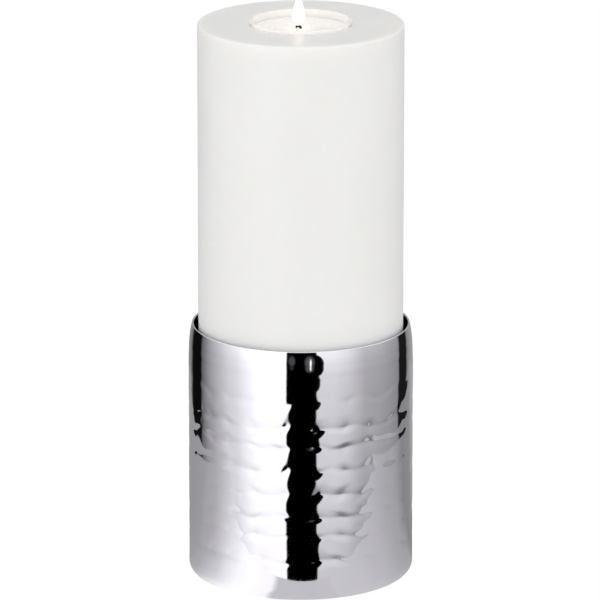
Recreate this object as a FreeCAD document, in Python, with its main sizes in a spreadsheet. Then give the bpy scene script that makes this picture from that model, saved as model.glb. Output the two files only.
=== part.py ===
import FreeCAD, Part
import math
import os

import Sketcher

# Candle ring: a hammered steel sleeve on a base disc and a felt pad, holding a wax pillar
# candle whose top has a bore for a tealight. The tealight lifts out of the candle, and the
# candle lifts out of the sleeve. Millimetres, +Z up, origin on the table under the axis.

SHEET = "Sizes"
EDGE_MATCH = 1e-5  # share of its radius by which an edge may miss the place it is looked for

SIZES = {
    # candle
    "candle_radius": (40.0, "pillar candle, which the sleeve and its base are made to fit"),
    "candle_height": (218.8, "pillar candle"),
    "candle_top_round": (0.8, "upper edge of the candle"),
    "candle_base_round": (1.5, "lower edge of the candle"),
    "bore_gap": (0.35, "side of the bore to the widest part of the cup"),
    "bore_round": (0.5, "edge of the bore"),
    # sleeve
    "sleeve_height": (101.2, "table to rim"),
    "sleeve_wall": (0.8, "sheet thickness"),
    "rim_play": (1.7, "side of the candle to the rim, its narrowest fit"),
    "rim_draw": (1.5, "how far the rim is drawn in from the sleeve's side"),
    "shoulder_rise": (10.0, "height over which the side curves in to the rim"),
    "rim_round": (0.35, "polished edge of the rim"),
    "foot_round": (4.0, "outside corner where the side turns in to the foot"),
    "foot_ledge": (6.0, "flat width of the turned-in foot, inside its corner"),
    "foot_lift": (0.4, "foot to table, because the felt stands proud"),
    # base disc and felt
    "base_thickness": (0.8, "steel disc on the turned-in foot"),
    "base_gap": (0.2, "edge of the base disc to the start of the foot's corner"),
    "base_round": (0.2, "broken edge of the base disc"),
    "felt_gap": (0.3, "edge of the felt to the foot's hole"),
    # tealight cup
    "cup_height": (20.0, "tealight cup"),
    "cup_radius": (19.55, "outside of the cup at its lip"),
    "cup_draft": (0.9, "how much narrower the cup is at its floor"),
    "cup_wall": (0.8, "side and floor of the cup"),
    "cup_proud": (1.4, "cup rim above the candle's top"),
    "lip_width": (0.25, "how far the lip stands out from the cup's side"),
    "lip_height": (1.1, "depth of the lip"),
    "cup_floor_round": (1.0, "outside corner of the cup's floor"),
    # wax of the tealight
    "wax_drop": (3.5, "cup rim to wax"),
    "wax_gap": (0.15, "wax to the cup's side, and to what stands in it"),
    "meniscus_rise": (0.45, "how far the wax climbs at the cup's side"),
    "meniscus_width": (1.6, "width of that climb"),
    # wick and its foot
    "wick_radius": (0.55, "cotton wick"),
    "wick_rise": (0.1, "straight wick above the wax"),
    "wick_bend": (0.2, "inside of the bend where the burnt tip curls over"),
    "wick_tip": (1.3, "burnt tip beyond the bend"),
    "clip_radius": (6.5, "tin disc that holds the wick upright"),
    "clip_thickness": (0.3, "tin sheet"),
    "collar_height": (4.5, "collar above the cup's floor"),
    "crimp_gap": (0.05, "collar to wick"),
}


class Length:
    """A size with both its number, for a first drawing, and its text, for a bound expression."""

    def __init__(self, number, text):
        self.number = number
        self.text = text

    def joined(self, other, sign, number):
        return Length(number, f"({self.text} {sign} {other.text})")

    def __add__(self, other):
        return self.joined(other, "+", self.number + other.number)

    def __sub__(self, other):
        return self.joined(other, "-", self.number - other.number)

    def __mul__(self, other):
        return self.joined(other, "*", self.number * other.number)

    def __truediv__(self, other):
        return self.joined(other, "/", self.number / other.number)


ZERO = Length(0.0, "0")
TWO = Length(2.0, "2")


def size(alias):
    """The named cell of the sheet as a Length."""
    return Length(SIZES[alias][0], f"{SHEET}.{alias}")


def make_sheet(doc):
    sheet = doc.addObject("Spreadsheet::Sheet", SHEET)
    for row, (alias, (number, note)) in enumerate(SIZES.items(), start=1):
        sheet.set(f"A{row}", alias)
        sheet.set(f"B{row}", str(number))
        sheet.set(f"C{row}", note)
        sheet.setAlias(f"B{row}", alias)
    doc.recompute()


# Helpers for bodies and sketches


def make_body(doc, label):
    body = doc.addObject("PartDesign::Body", label)
    body.Label = label
    return body


def make_sketch(body, name, role):
    sketch = body.newObject("Sketcher::SketchObject", name)
    plane = [f for f in body.Origin.OriginFeatures if f.Role == role]
    sketch.AttachmentSupport = [(plane[0], "")]
    sketch.MapMode = "FlatFace"
    return sketch


def bind(sketch, kind, where, length):
    """Adds a dimension to the sketch and binds it to the sheet."""
    index = sketch.addConstraint(Sketcher.Constraint(kind, *where, length.number))
    sketch.setExpression(f"Constraints[{index}]", length.text)


def fix_point(sketch, edge, end, x, y):
    """Holds one end of an edge at x, y. A zero puts it on the sketch's own axis."""
    origin, vertical_axis, horizontal_axis = (-1, 1), -2, -1
    if x is ZERO:
        sketch.addConstraint(Sketcher.Constraint("PointOnObject", edge, end, vertical_axis))
    else:
        bind(sketch, "DistanceX", (*origin, edge, end), x)
    if y is ZERO:
        sketch.addConstraint(Sketcher.Constraint("PointOnObject", edge, end, horizontal_axis))
    else:
        bind(sketch, "DistanceY", (*origin, edge, end), y)


def arc_between(start, end, centre):
    """A first drawing of the shorter arc from start to end about centre."""
    middle = FreeCAD.Vector((start[0] + end[0]) / 2, (start[1] + end[1]) / 2, 0)
    hub = FreeCAD.Vector(*centre, 0)
    radius = math.dist(start, centre)
    crown = hub + (middle - hub).normalize() * radius
    return Part.Arc(FreeCAD.Vector(*start, 0), crown, FreeCAD.Vector(*end, 0))


def draw_outline(sketch, corners, arcs=None, closed=True):
    """Draws corners as lines. arcs gives, for the edge that leaves a corner, its centre and radius."""
    arcs = arcs or {}
    count = len(corners)
    edges = count if closed else count - 1
    for i in range(edges):
        start = [c.number for c in corners[i]]
        end = [c.number for c in corners[(i + 1) % count]]
        if i in arcs:
            centre = [c.number for c in arcs[i][0]]
            sketch.addGeometry(arc_between(start, end, centre))
        else:
            line = Part.LineSegment(FreeCAD.Vector(*start, 0), FreeCAD.Vector(*end, 0))
            sketch.addGeometry(line)
    tails = [end_of(sketch, i, corners[(i + 1) % count]) for i in range(edges)]
    heads = [3 - tail for tail in tails]
    for i in range(edges):
        follower = (i + 1) % edges
        if closed or i + 1 < edges:
            joint = Sketcher.Constraint("Coincident", i, tails[i], follower, heads[follower])
            sketch.addConstraint(joint)
        fix_point(sketch, i, heads[i], *corners[i])
    if not closed:
        fix_point(sketch, edges - 1, tails[-1], *corners[-1])
    for i, (_, radius) in arcs.items():
        bind(sketch, "Radius", (i,), radius)


def end_of(sketch, edge, corner):
    """1 if the edge's own start lies at the corner, and 2 if its end does."""
    target = FreeCAD.Vector(corner[0].number, corner[1].number, 0)
    gaps = [sketch.getPoint(edge, end).distanceToPoint(target) for end in (1, 2)]
    return 1 if gaps[0] < gaps[1] else 2


def turn(body, name, sketch):
    """Revolves a sketch on the XZ plane round the body's own Z axis."""
    turned = body.newObject("PartDesign::Revolution", name)
    turned.Profile = sketch
    turned.ReferenceAxis = (sketch, ["V_Axis"])
    turned.Angle = 360
    body.Document.recompute()
    return turned


def circle_sketch(body, name, radius, height=None):
    sketch = make_sketch(body, name, "XY_Plane")
    if height is not None:
        sketch.setExpression("AttachmentOffset.Base.z", height.text)
    circle = Part.Circle(FreeCAD.Vector(), FreeCAD.Vector(0, 0, 1), radius.number)
    sketch.addGeometry(circle)
    sketch.addConstraint(Sketcher.Constraint("Coincident", 0, 3, -1, 1))
    bind(sketch, "Radius", (0,), radius)
    return sketch


def rim_edges(shape, radius, height):
    """Names of the shape's circular edges of that radius at that height."""
    found = []
    for i, edge in enumerate(shape.Edges, start=1):
        curve = edge.Curve
        if not isinstance(curve, Part.Circle):
            continue
        miss = max(abs(curve.Radius - radius.number), abs(curve.Center.z - height.number))
        if miss < EDGE_MATCH * radius.number:
            found.append(f"Edge{i}")
    return found


def round_edges(body, name, base, places, radius):
    """Fillets the circular edges of base that lie at places, each a radius and a height."""
    edges = [e for place in places for e in rim_edges(base.Shape, *place)]
    if len(edges) != len(places):
        raise RuntimeError(f"{name}: found {len(edges)} of {len(places)} edges")
    fillet = body.newObject("PartDesign::Fillet", name)
    fillet.Base = (base, edges)
    fillet.setExpression("Radius", radius.text)
    body.Document.recompute()
    return fillet


def lift(body, height):
    """Places a body that is drawn from its own underside."""
    body.setExpression("Placement.Base.z", height.text)


# Radii and heights that several pieces share

rim_inside = size("candle_radius") + size("rim_play")
sleeve_inside = rim_inside + size("rim_draw")
sleeve_outside = sleeve_inside + size("sleeve_wall")
corner_start = sleeve_outside - size("foot_round")
foot_opening = corner_start - size("foot_ledge")
foot_floor = size("foot_lift") + size("sleeve_wall")
candle_floor = foot_floor + size("base_thickness")
candle_top = candle_floor + size("candle_height")
cup_foot = candle_top + size("cup_proud") - size("cup_height")
cup_floor = size("cup_wall")
wax_level = size("cup_height") - size("wax_drop")


# Holder


def make_sleeve(doc):
    """Hammered sheet-steel sleeve: a drawn-in rim, a straight side and a turned-in foot."""
    body = make_body(doc, "hammered_sleeve")
    wall, corner = size("sleeve_wall"), size("foot_round")
    draw, rise = size("rim_draw"), size("shoulder_rise")
    rim_outside = rim_inside + wall
    rim = size("sleeve_height") - size("foot_lift")
    shoulder = rim - rise
    shoulder_radius = (rise * rise + draw * draw) / (TWO * draw)
    corners = [
        (foot_opening, ZERO),
        (corner_start, ZERO),
        (sleeve_outside, corner),
        (sleeve_outside, shoulder),
        (rim_outside, rim),
        (rim_inside, rim),
        (sleeve_inside, shoulder),
        (sleeve_inside, corner),
        (corner_start, wall),
        (foot_opening, wall),
    ]
    arcs = {
        1: ((corner_start, corner), corner),
        3: ((sleeve_outside - shoulder_radius, shoulder), shoulder_radius),
        5: ((sleeve_inside - shoulder_radius, shoulder), shoulder_radius),
        7: ((corner_start, corner), corner - wall),
    }
    sketch = make_sketch(body, "sleeve_outline", "XZ_Plane")
    draw_outline(sketch, corners, arcs)
    turned = turn(body, "sleeve_turned", sketch)
    places = [(rim_outside, rim), (rim_inside, rim)]
    round_edges(body, "rim_polished", turned, places, size("rim_round"))
    lift(body, size("foot_lift"))
    return body


def make_base_disc(doc):
    """Steel disc lying on the turned-in foot. The candle stands on it."""
    body = make_body(doc, "base_disc")
    radius = corner_start - size("base_gap")
    thickness = size("base_thickness")
    pad = body.newObject("PartDesign::Pad", "disc_blank")
    pad.Profile = circle_sketch(body, "disc_circle", radius)
    pad.setExpression("Length", thickness.text)
    doc.recompute()
    places = [(radius, ZERO), (radius, thickness)]
    round_edges(body, "disc_edge", pad, places, size("base_round"))
    lift(body, foot_floor)
    return body


def make_felt_pad(doc):
    """Felt disc glued under the base disc, inside the foot. The whole part rests on it."""
    felt = doc.addObject("Part::Cylinder", "felt_pad")
    felt.Label = "felt_pad"
    radius = foot_opening - size("felt_gap")
    felt.setExpression("Radius", radius.text)
    felt.setExpression("Height", foot_floor.text)
    return felt


# Candle


def make_candle(doc):
    """Hard wax pillar with a blind bore for the tealight in its top."""
    body = make_body(doc, "candle_body")
    radius, height = size("candle_radius"), size("candle_height")
    bore_radius = size("cup_radius") + size("bore_gap")
    bore_depth = size("cup_height") - size("cup_proud")
    pillar = body.newObject("PartDesign::Pad", "pillar")
    pillar.Profile = circle_sketch(body, "pillar_circle", radius)
    pillar.setExpression("Length", height.text)
    doc.recompute()
    bore = body.newObject("PartDesign::Pocket", "tealight_bore")
    bore.Profile = circle_sketch(body, "bore_circle", bore_radius, height)
    bore.setExpression("Length", bore_depth.text)
    doc.recompute()
    cut = pillar.Shape.Volume - bore.Shape.Volume
    if cut <= 0:
        raise RuntimeError("the tealight bore cut nothing")
    top = round_edges(
        body, "top_edge", bore, [(radius, height)], size("candle_top_round")
    )
    base = round_edges(
        body, "base_edge", top, [(radius, ZERO)], size("candle_base_round")
    )
    round_edges(body, "bore_edge", base, [(bore_radius, height)], size("bore_round"))
    lift(body, candle_floor)
    return body


# Tealight


def make_cup(doc):
    """Clear moulded cup with drafted sides and a bead round its rim."""
    body = make_body(doc, "tealight_cup")
    height, wall = size("cup_height"), size("cup_wall")
    lip_radius = size("cup_radius")
    side_top = lip_radius - size("lip_width")
    side_foot = side_top - size("cup_draft")
    under_lip = height - size("lip_height")
    corners = [
        (ZERO, ZERO),
        (side_foot, ZERO),
        (side_top, under_lip),
        (lip_radius, under_lip),
        (lip_radius, height),
        (side_top - wall, height),
        (side_foot - wall, wall),
        (ZERO, wall),
    ]
    sketch = make_sketch(body, "cup_outline", "XZ_Plane")
    draw_outline(sketch, corners)
    turned = turn(body, "cup_turned", sketch)
    lip = round_edges(
        body,
        "lip_edge",
        turned,
        [(lip_radius, height), (side_top - wall, height)],
        size("lip_width"),
    )
    round_edges(body, "floor_edge", lip, [(side_foot, ZERO)], size("cup_floor_round"))
    lift(body, cup_foot)
    return body


def cup_inside(level):
    """Inside radius of the cup at a height above its underside."""
    top = size("cup_radius") - size("lip_width") - size("cup_wall")
    drafted_height = size("cup_height") - size("cup_wall")
    slope = size("cup_draft") / drafted_height
    return top - slope * (size("cup_height") - level)


def collar_outside():
    return size("wick_radius") + size("crimp_gap") + size("clip_thickness")


def make_wax(doc):
    """Wax of the tealight: it climbs a little at the cup's side, and clears clip and wick."""
    body = make_body(doc, "tealight_wax")
    gap = size("wax_gap")
    top = wax_level - cup_floor
    crest = top + size("meniscus_rise")
    side_top = cup_inside(wax_level + size("meniscus_rise")) - gap
    side_foot = cup_inside(cup_floor) - gap
    wick_hole = size("wick_radius") + gap
    collar_hole = collar_outside() + gap
    clip_hole = size("clip_radius") + gap
    clip_roof = size("clip_thickness") + gap
    collar_roof = size("collar_height") + gap
    rise, width = size("meniscus_rise"), size("meniscus_width")
    meniscus_radius = (rise * rise + width * width) / (TWO * rise)
    pool_edge = side_top - width
    corners = [
        (wick_hole, collar_roof),
        (collar_hole, collar_roof),
        (collar_hole, clip_roof),
        (clip_hole, clip_roof),
        (clip_hole, ZERO),
        (side_foot, ZERO),
        (side_top, crest),
        (pool_edge, top),
        (wick_hole, top),
    ]
    arcs = {6: ((pool_edge, top + meniscus_radius), meniscus_radius)}
    sketch = make_sketch(body, "wax_outline", "XZ_Plane")
    draw_outline(sketch, corners, arcs)
    turn(body, "wax_turned", sketch)
    lift(body, cup_foot + cup_floor)
    return body


def make_clip(doc):
    """Tin disc with a crimped collar that holds the wick upright."""
    body = make_body(doc, "wick_clip")
    hole = size("wick_radius") + size("crimp_gap")
    collar = collar_outside()
    sheet_top = size("clip_thickness")
    corners = [
        (hole, ZERO),
        (size("clip_radius"), ZERO),
        (size("clip_radius"), sheet_top),
        (collar, sheet_top),
        (collar, size("collar_height")),
        (hole, size("collar_height")),
    ]
    sketch = make_sketch(body, "clip_outline", "XZ_Plane")
    draw_outline(sketch, corners)
    turn(body, "clip_turned", sketch)
    lift(body, cup_foot + cup_floor)
    return body


def make_wick(doc):
    """Cotton wick: straight up from the cup's floor, with its burnt tip curled over to one side."""
    body = make_body(doc, "wick")
    bend = size("wick_bend") + size("wick_radius")
    straight = wax_level - cup_floor + size("wick_rise")
    top = straight + bend
    path = make_sketch(body, "wick_path", "XZ_Plane")
    corners = [
        (ZERO, ZERO),
        (ZERO, straight),
        (ZERO - bend, top),
        (ZERO - bend - size("wick_tip"), top),
    ]
    draw_outline(path, corners, {1: ((ZERO - bend, straight), bend)}, closed=False)
    pipe = body.newObject("PartDesign::AdditivePipe", "wick_cord")
    pipe.Profile = circle_sketch(body, "wick_circle", size("wick_radius"))
    pipe.Spine = (path, ["Edge1", "Edge2", "Edge3"])
    lift(body, cup_foot + cup_floor)
    return body


MAKERS = [
    make_sleeve,
    make_base_disc,
    make_felt_pad,
    make_candle,
    make_cup,
    make_wax,
    make_clip,
    make_wick,
]


def check(doc, pieces):
    """Stops before anything is written if an object failed or a shape is unsound."""
    for thing in doc.Objects:
        if "Invalid" in thing.State or "Error" in thing.State:
            raise RuntimeError(f"{thing.Label} failed: {thing.State}")
    for piece in pieces:
        if piece.Shape.isNull() or not piece.Shape.isValid():
            raise RuntimeError(f"{piece.Label} has no valid shape")


def main():
    doc = FreeCAD.newDocument("candle_ring")
    make_sheet(doc)
    pieces = [maker(doc) for maker in MAKERS]
    doc.recompute()
    check(doc, pieces)
    os.makedirs("parts", exist_ok=True)
    for piece in pieces:
        piece.Shape.exportStep(f"parts/{piece.Label}.step")
        box = piece.Shape.optimalBoundingBox()
        solids = len(piece.Shape.Solids)
        print(
            f"{piece.Label}: {solids} solid, z {box.ZMin:.2f} to {box.ZMax:.2f},"
            f" width {box.XLength:.2f}, volume {piece.Shape.Volume:.1f}"
        )


main()
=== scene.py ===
# %% [markdown]
# # A hammered candle ring, its candle and its tealight
#
# The real object is a short sleeve of sheet metal, hammered in rows and polished like a
# mirror. A white pillar candle stands in it, and a lit tealight in a clear cup sits in a
# bore in the candle's top. Most of what we see on the metal is its surroundings, so this
# lesson spends as much care on what stands around the object as on the object itself.
#
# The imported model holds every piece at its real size. We load it first and build the
# looks around it, in metres.

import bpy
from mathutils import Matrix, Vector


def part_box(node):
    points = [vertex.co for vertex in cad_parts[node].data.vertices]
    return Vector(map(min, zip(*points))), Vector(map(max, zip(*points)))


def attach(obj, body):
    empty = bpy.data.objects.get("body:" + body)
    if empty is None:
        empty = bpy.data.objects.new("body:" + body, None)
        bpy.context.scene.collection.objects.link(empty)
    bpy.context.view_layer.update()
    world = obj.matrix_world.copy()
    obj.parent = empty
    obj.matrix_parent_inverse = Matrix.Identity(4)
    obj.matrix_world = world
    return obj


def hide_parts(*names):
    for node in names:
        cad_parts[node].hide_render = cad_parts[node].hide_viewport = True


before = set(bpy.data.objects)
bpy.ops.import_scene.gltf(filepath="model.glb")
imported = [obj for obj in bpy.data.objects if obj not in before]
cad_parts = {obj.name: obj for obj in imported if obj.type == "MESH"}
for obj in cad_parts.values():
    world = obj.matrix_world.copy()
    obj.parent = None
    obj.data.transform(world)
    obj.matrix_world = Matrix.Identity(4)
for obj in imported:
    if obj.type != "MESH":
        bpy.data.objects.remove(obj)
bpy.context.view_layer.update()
print("nodes:", sorted(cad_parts))

# %% Modules and units
import math
import random

import bmesh
import bpy
import numpy as np
from mathutils import Matrix, Vector, noise

MM = 0.001
UP = Vector((0, 0, 1))
ORIGIN = Vector((0, 0, 0))

scene = bpy.context.scene
scene.view_settings.view_transform = "Standard"


# %% [markdown]
# ## Places from the frame
#
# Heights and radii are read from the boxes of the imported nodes, so that each dressed piece
# lands where its solid is. Only what a box can't tell, such as a wall or a rounding, is
# written here again.

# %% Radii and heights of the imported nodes
def radius_of(node):
    low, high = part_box(node)
    return (high.x - low.x) / 2


def heights_of(node):
    low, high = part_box(node)
    return low.z, high.z


sleeve_radius = radius_of("hammered_sleeve")
sleeve_foot, sleeve_rim = heights_of("hammered_sleeve")
candle_radius = radius_of("candle_body")
candle_foot, candle_top = heights_of("candle_body")
cup_radius = radius_of("tealight_cup")
cup_foot, cup_rim = heights_of("tealight_cup")
felt_radius = radius_of("felt_pad")
felt_foot, felt_top = heights_of("felt_pad")
print(f"sleeve {2000 * sleeve_radius:.1f} mm across, rim at {1000 * sleeve_rim:.1f} mm")
print(f"candle {2000 * candle_radius:.1f} mm across, top at {1000 * candle_top:.1f} mm")
print(f"cup {2000 * cup_radius:.1f} mm across, rim at {1000 * cup_rim:.1f} mm")


# %% [markdown]
# ## The camera
#
# The photograph was taken from far away with a long lens, a little above the object. The
# distance, height and lens below were worked out from the ellipses of the candle's top and
# the metal rim: the further the camera, the more alike the two ellipses are.

# %% Camera
CAMERA_PLACE = Vector((-0.0003, -2.2665, 0.7541))
CAMERA_AIM = Vector((-0.0003, 0.0, 0.1100))
CAMERA_LENS = 362.4
SENSOR_WIDTH = 36.0
NEAREST_SEEN, FURTHEST_SEEN = 0.1, 50.0


def add_camera():
    data = bpy.data.cameras.new("long_lens")
    data.lens = CAMERA_LENS
    data.sensor_width = SENSOR_WIDTH
    data.clip_start = NEAREST_SEEN
    data.clip_end = FURTHEST_SEEN
    camera = bpy.data.objects.new("camera", data)
    scene.collection.objects.link(camera)
    camera.location = CAMERA_PLACE
    camera.rotation_euler = (CAMERA_AIM - CAMERA_PLACE).to_track_quat("-Z", "Y").to_euler()
    scene.camera = camera
    print(f"camera at {tuple(round(v, 3) for v in camera.location)}, lens {data.lens} mm")


add_camera()


# %% [markdown]
# ## Small helpers for meshes
#
# Nearly every piece here is turned on a lathe: a profile drawn in the plane y = 0 is spun
# round the Z axis. A profile starts as a few corner points, and a bevel rounds its corners.
# A long spin of a fine profile is slow, so we spin an eighth of a turn, double it three
# times and merge the seams.

# %% Objects from meshes
SHARP_ANGLE = math.radians(50)
SAME_POINT = 1e-7


def finish_mesh(bm, name, material, smooth=True):
    """Cleans the mesh, turns its faces outwards and puts it into a new object."""
    bmesh.ops.remove_doubles(bm, verts=bm.verts, dist=SAME_POINT)
    bmesh.ops.dissolve_degenerate(bm, edges=bm.edges, dist=SAME_POINT)
    bmesh.ops.recalc_face_normals(bm, faces=bm.faces)
    mesh = bpy.data.meshes.new(name)
    bm.to_mesh(mesh)
    bm.free()
    if smooth:
        mesh.shade_smooth()
        mesh.set_sharp_from_angle(angle=SHARP_ANGLE)
    mesh.materials.append(material)
    piece = bpy.data.objects.new(name, mesh)
    scene.collection.objects.link(piece)
    triangles = sum(len(p.vertices) - 2 for p in mesh.polygons)
    print(f"{name}: {len(mesh.vertices)} vertices, {triangles} triangles")
    return piece


# %% Profiles and the lathe
def draw_profile(bm, points, closed=False):
    """Draws (radius, height) points in the plane y = 0, joined in order."""
    verts = [bm.verts.new((r, 0, z)) for r, z in points]
    pairs = list(zip(verts, verts[1:]))
    if closed:
        pairs.append((verts[-1], verts[0]))
    for a, b in pairs:
        bm.edges.new((a, b))
    return verts


def round_corners(bm, corners, radius, segments):
    """Rounds some corners of a profile with arcs."""
    turn = {v: corner_angle(v) for v in corners}
    for vert in corners:
        setback = radius * math.tan(turn[vert] / 2)
        bmesh.ops.bevel(
            bm,
            geom=[vert],
            offset=setback,
            offset_type="OFFSET",
            segments=segments,
            profile=0.5,
            affect="VERTICES",
            material=-1,
        )


def corner_angle(vert):
    """How far a profile turns at a corner."""
    a, b = [(e.other_vert(vert).co - vert.co).normalized() for e in vert.link_edges]
    return math.pi - a.angle(b)


def cut_edges(bm, longest, inside=None):
    """Cuts the profile's long edges so that none is longer than longest."""
    for edge in list(bm.edges):
        if inside and not inside(edge):
            continue
        cuts = math.ceil(edge.calc_length() / longest) - 1
        if cuts > 0:
            bmesh.ops.subdivide_edges(bm, edges=[edge], cuts=cuts)


SPIN_DOUBLINGS = 3
SPIN_PARTS = 2**SPIN_DOUBLINGS


def spin_profile(bm, steps, centre=ORIGIN):
    """Turns the profile round a vertical axis: an eighth of a turn, doubled three times."""
    geom = list(bm.verts) + list(bm.edges)
    part = math.tau / SPIN_PARTS
    bmesh.ops.spin(bm, geom=geom, cent=centre, axis=UP, angle=part, steps=steps // SPIN_PARTS)
    for _ in range(SPIN_DOUBLINGS):
        whole = list(bm.verts) + list(bm.edges) + list(bm.faces)
        copied = bmesh.ops.duplicate(bm, geom=whole)["geom"]
        verts = [g for g in copied if isinstance(g, bmesh.types.BMVert)]
        bmesh.ops.rotate(bm, verts=verts, cent=centre, matrix=Matrix.Rotation(part, 3, UP))
        part *= 2
    bmesh.ops.remove_doubles(bm, verts=bm.verts, dist=SAME_POINT)


# %% Noise
def noise_share(place):
    """Smooth noise at a place, from 0 to 1."""
    return 0.5 + 0.5 * noise.noise(place)


# %% [markdown]
# ## Helpers for materials
#
# Every material here is procedural. Patterns read Object coordinates, so they stay on the
# surface when the camera or the piece moves. What is the same all over goes straight onto
# the shader's own socket, and what varies comes from noise.

# %% Node helpers
def new_material(name):
    """A material with only its Principled shader and its output, returned with its node tree
    and the shader.
    """
    material = bpy.data.materials.new(name)
    material.use_nodes = True
    nodes = material.node_tree.nodes
    shader = next(n for n in nodes if n.type == "BSDF_PRINCIPLED")
    return material, material.node_tree, shader


def add_node(tree, kind, **values):
    """Adds a node and sets its properties, or its inputs where a name is an input's."""
    node = tree.nodes.new(kind)
    for name, value in values.items():
        if hasattr(node, name):
            setattr(node, name, value)
        else:
            node.inputs[name.replace("_", " ").title()].default_value = value
    return node


def object_coordinates(tree):
    return add_node(tree, "ShaderNodeTexCoord").outputs["Object"]


def noise_on(tree, size, detail=2.0, roughness=0.5, stretch=(1, 1, 1)):
    """Noise whose blobs are about size metres across, and its Fac output."""
    mapping = add_node(tree, "ShaderNodeMapping")
    mapping.inputs["Scale"].default_value = stretch
    tree.links.new(object_coordinates(tree), mapping.inputs["Vector"])
    texture = add_node(tree, "ShaderNodeTexNoise")
    texture.inputs["Scale"].default_value = 1 / size
    texture.inputs["Detail"].default_value = detail
    texture.inputs["Roughness"].default_value = roughness
    tree.links.new(mapping.outputs["Vector"], texture.inputs["Vector"])
    return texture.outputs["Fac"]


def spread(tree, value, low, high, start=0.3, end=0.7):
    """Spreads a value from start..end over low..high."""
    node = add_node(tree, "ShaderNodeMapRange")
    node.inputs["From Min"].default_value = start
    node.inputs["From Max"].default_value = end
    node.inputs["To Min"].default_value = low
    node.inputs["To Max"].default_value = high
    tree.links.new(value, node.inputs["Value"])
    return node.outputs["Result"]


def colour_ramp(tree, value, stops):
    """A ramp with stops of (position, colour)."""
    node = add_node(tree, "ShaderNodeValToRGB")
    ramp = node.color_ramp
    while len(ramp.elements) < len(stops):
        ramp.elements.new(0.5)
    for element, (position, colour) in zip(ramp.elements, stops):
        element.position = position
        element.color = (*colour, 1.0)
    tree.links.new(value, node.inputs["Fac"])
    return node.outputs["Color"]


def bump_from(tree, shader, layers):
    """Chains bumps: each layer is a height value, its depth in metres and its strength."""
    normal = None
    for height, distance, strength in layers:
        bump = add_node(tree, "ShaderNodeBump")
        bump.inputs["Strength"].default_value = strength
        bump.inputs["Distance"].default_value = distance
        tree.links.new(height, bump.inputs["Height"])
        if normal is not None:
            tree.links.new(normal, bump.inputs["Normal"])
        normal = bump.outputs["Normal"]
    tree.links.new(normal, shader.inputs["Normal"])


# %% [markdown]
# ## Finish: hammered, polished metal
#
# Polished metal has almost no colour of its own. It is fully metallic and nearly smooth,
# with a slightly violet grey tint, a trace of uneven buffing in its roughness and a very
# fine ripple in its bump. The hammering itself isn't in the material: it is in the mesh,
# where it also shows in the outline.

# %% Polished metal
METAL_TINTS = [(0.35, (0.870, 0.851, 0.920)), (0.65, (0.898, 0.880, 0.942))]
METAL_ROUGHNESS = (0.028, 0.055)
BUFFING_SIZE = 9 * MM
RIPPLE_SIZE = 2.6 * MM
RIPPLE_DEPTH = 0.004 * MM


def make_polished_metal():
    material, tree, shader = new_material("mirror_polish")
    shader.inputs["Metallic"].default_value = 1.0
    buffing = noise_on(tree, BUFFING_SIZE, detail=3.0, stretch=(1, 1, 0.35))
    tree.links.new(colour_ramp(tree, buffing, METAL_TINTS), shader.inputs["Base Color"])
    tree.links.new(spread(tree, buffing, *METAL_ROUGHNESS), shader.inputs["Roughness"])
    ripple = noise_on(tree, RIPPLE_SIZE, detail=1.0)
    bump_from(tree, shader, [(ripple, RIPPLE_DEPTH, 1.0)])
    return material


polished_metal = make_polished_metal()
print("made", polished_metal.name)


# %% [markdown]
# ## The hammered sleeve
#
# The real sheet has been hammered row by row over a round stake. What is left are low,
# soft cushions that stand side by side, with a fine crease between one row and the next.
# Eight rows cover the side. Above them lies a wide smooth band, and the foot is smooth too.
#
# A normal map would give the reflections but not the faintly wavy outline, so the cushions
# are real. The profile is spun with a fine mesh. Then each vertex of the outer wall moves
# inwards: by little at the middle of a cushion and where it meets the next of its row, by
# under a tenth of a millimetre at the creases, and by more at the corners, where four blows
# leave a small pit between them. Where two cushions meet, the higher one wins, blended a
# little, as polishing does.

# %% Sizes of the sleeve that its box can't tell
SLEEVE_WALL = 0.8 * MM
RIM_DRAW = 1.5 * MM
SHOULDER_RISE = 10.0 * MM
FOOT_CORNER = 4.0 * MM
FOOT_LEDGE = 6.0 * MM
RIM_ROUND = 0.3 * MM

# Fineness of its mesh: steps round it, and the longest edge outside and inside
SLEEVE_STEPS = 480
ROW_OF_FACES = 0.64 * MM
HIDDEN_ROW = 12 * MM


# %% Profile of the sleeve
def shoulder_points(radius, count):
    """The side's curve in towards the rim, from its top down."""
    curve = (SHOULDER_RISE**2 + RIM_DRAW**2) / (2 * RIM_DRAW)
    centre = Vector((radius - curve, sleeve_rim - SHOULDER_RISE))
    top = math.asin(SHOULDER_RISE / curve)
    turns = [top * (1 - i / count) for i in range(count + 1)]
    return [(centre.x + curve * math.cos(t), centre.y + curve * math.sin(t)) for t in turns]


def sleeve_profile(bm):
    """Closed outline of the sheet: shoulder, side, foot and its turned-in ledge."""
    inside = sleeve_radius - SLEEVE_WALL
    ledge_end = sleeve_radius - FOOT_CORNER - FOOT_LEDGE
    outer = shoulder_points(sleeve_radius, count=16)
    inner = shoulder_points(inside, count=8)[::-1]
    foot = [(sleeve_radius, sleeve_foot), (ledge_end, sleeve_foot)]
    floor = [(ledge_end, sleeve_foot + SLEEVE_WALL), (inside, sleeve_foot + SLEEVE_WALL)]
    verts = draw_profile(bm, outer + foot + floor + inner, closed=True)
    foot_outer = verts[len(outer)]
    foot_inner = verts[len(outer) + len(foot) + 1]
    rims = [verts[0], verts[-1]]
    round_corners(bm, [foot_outer], FOOT_CORNER, segments=9)
    round_corners(bm, [foot_inner], FOOT_CORNER - SLEEVE_WALL, segments=4)
    round_corners(bm, rims, RIM_ROUND, segments=3)
    side = sleeve_radius - SLEEVE_WALL / 2
    cut_edges(bm, ROW_OF_FACES, lambda e: min(v.co.x for v in e.verts) > side)
    cut_edges(bm, HIDDEN_ROW)


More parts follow.
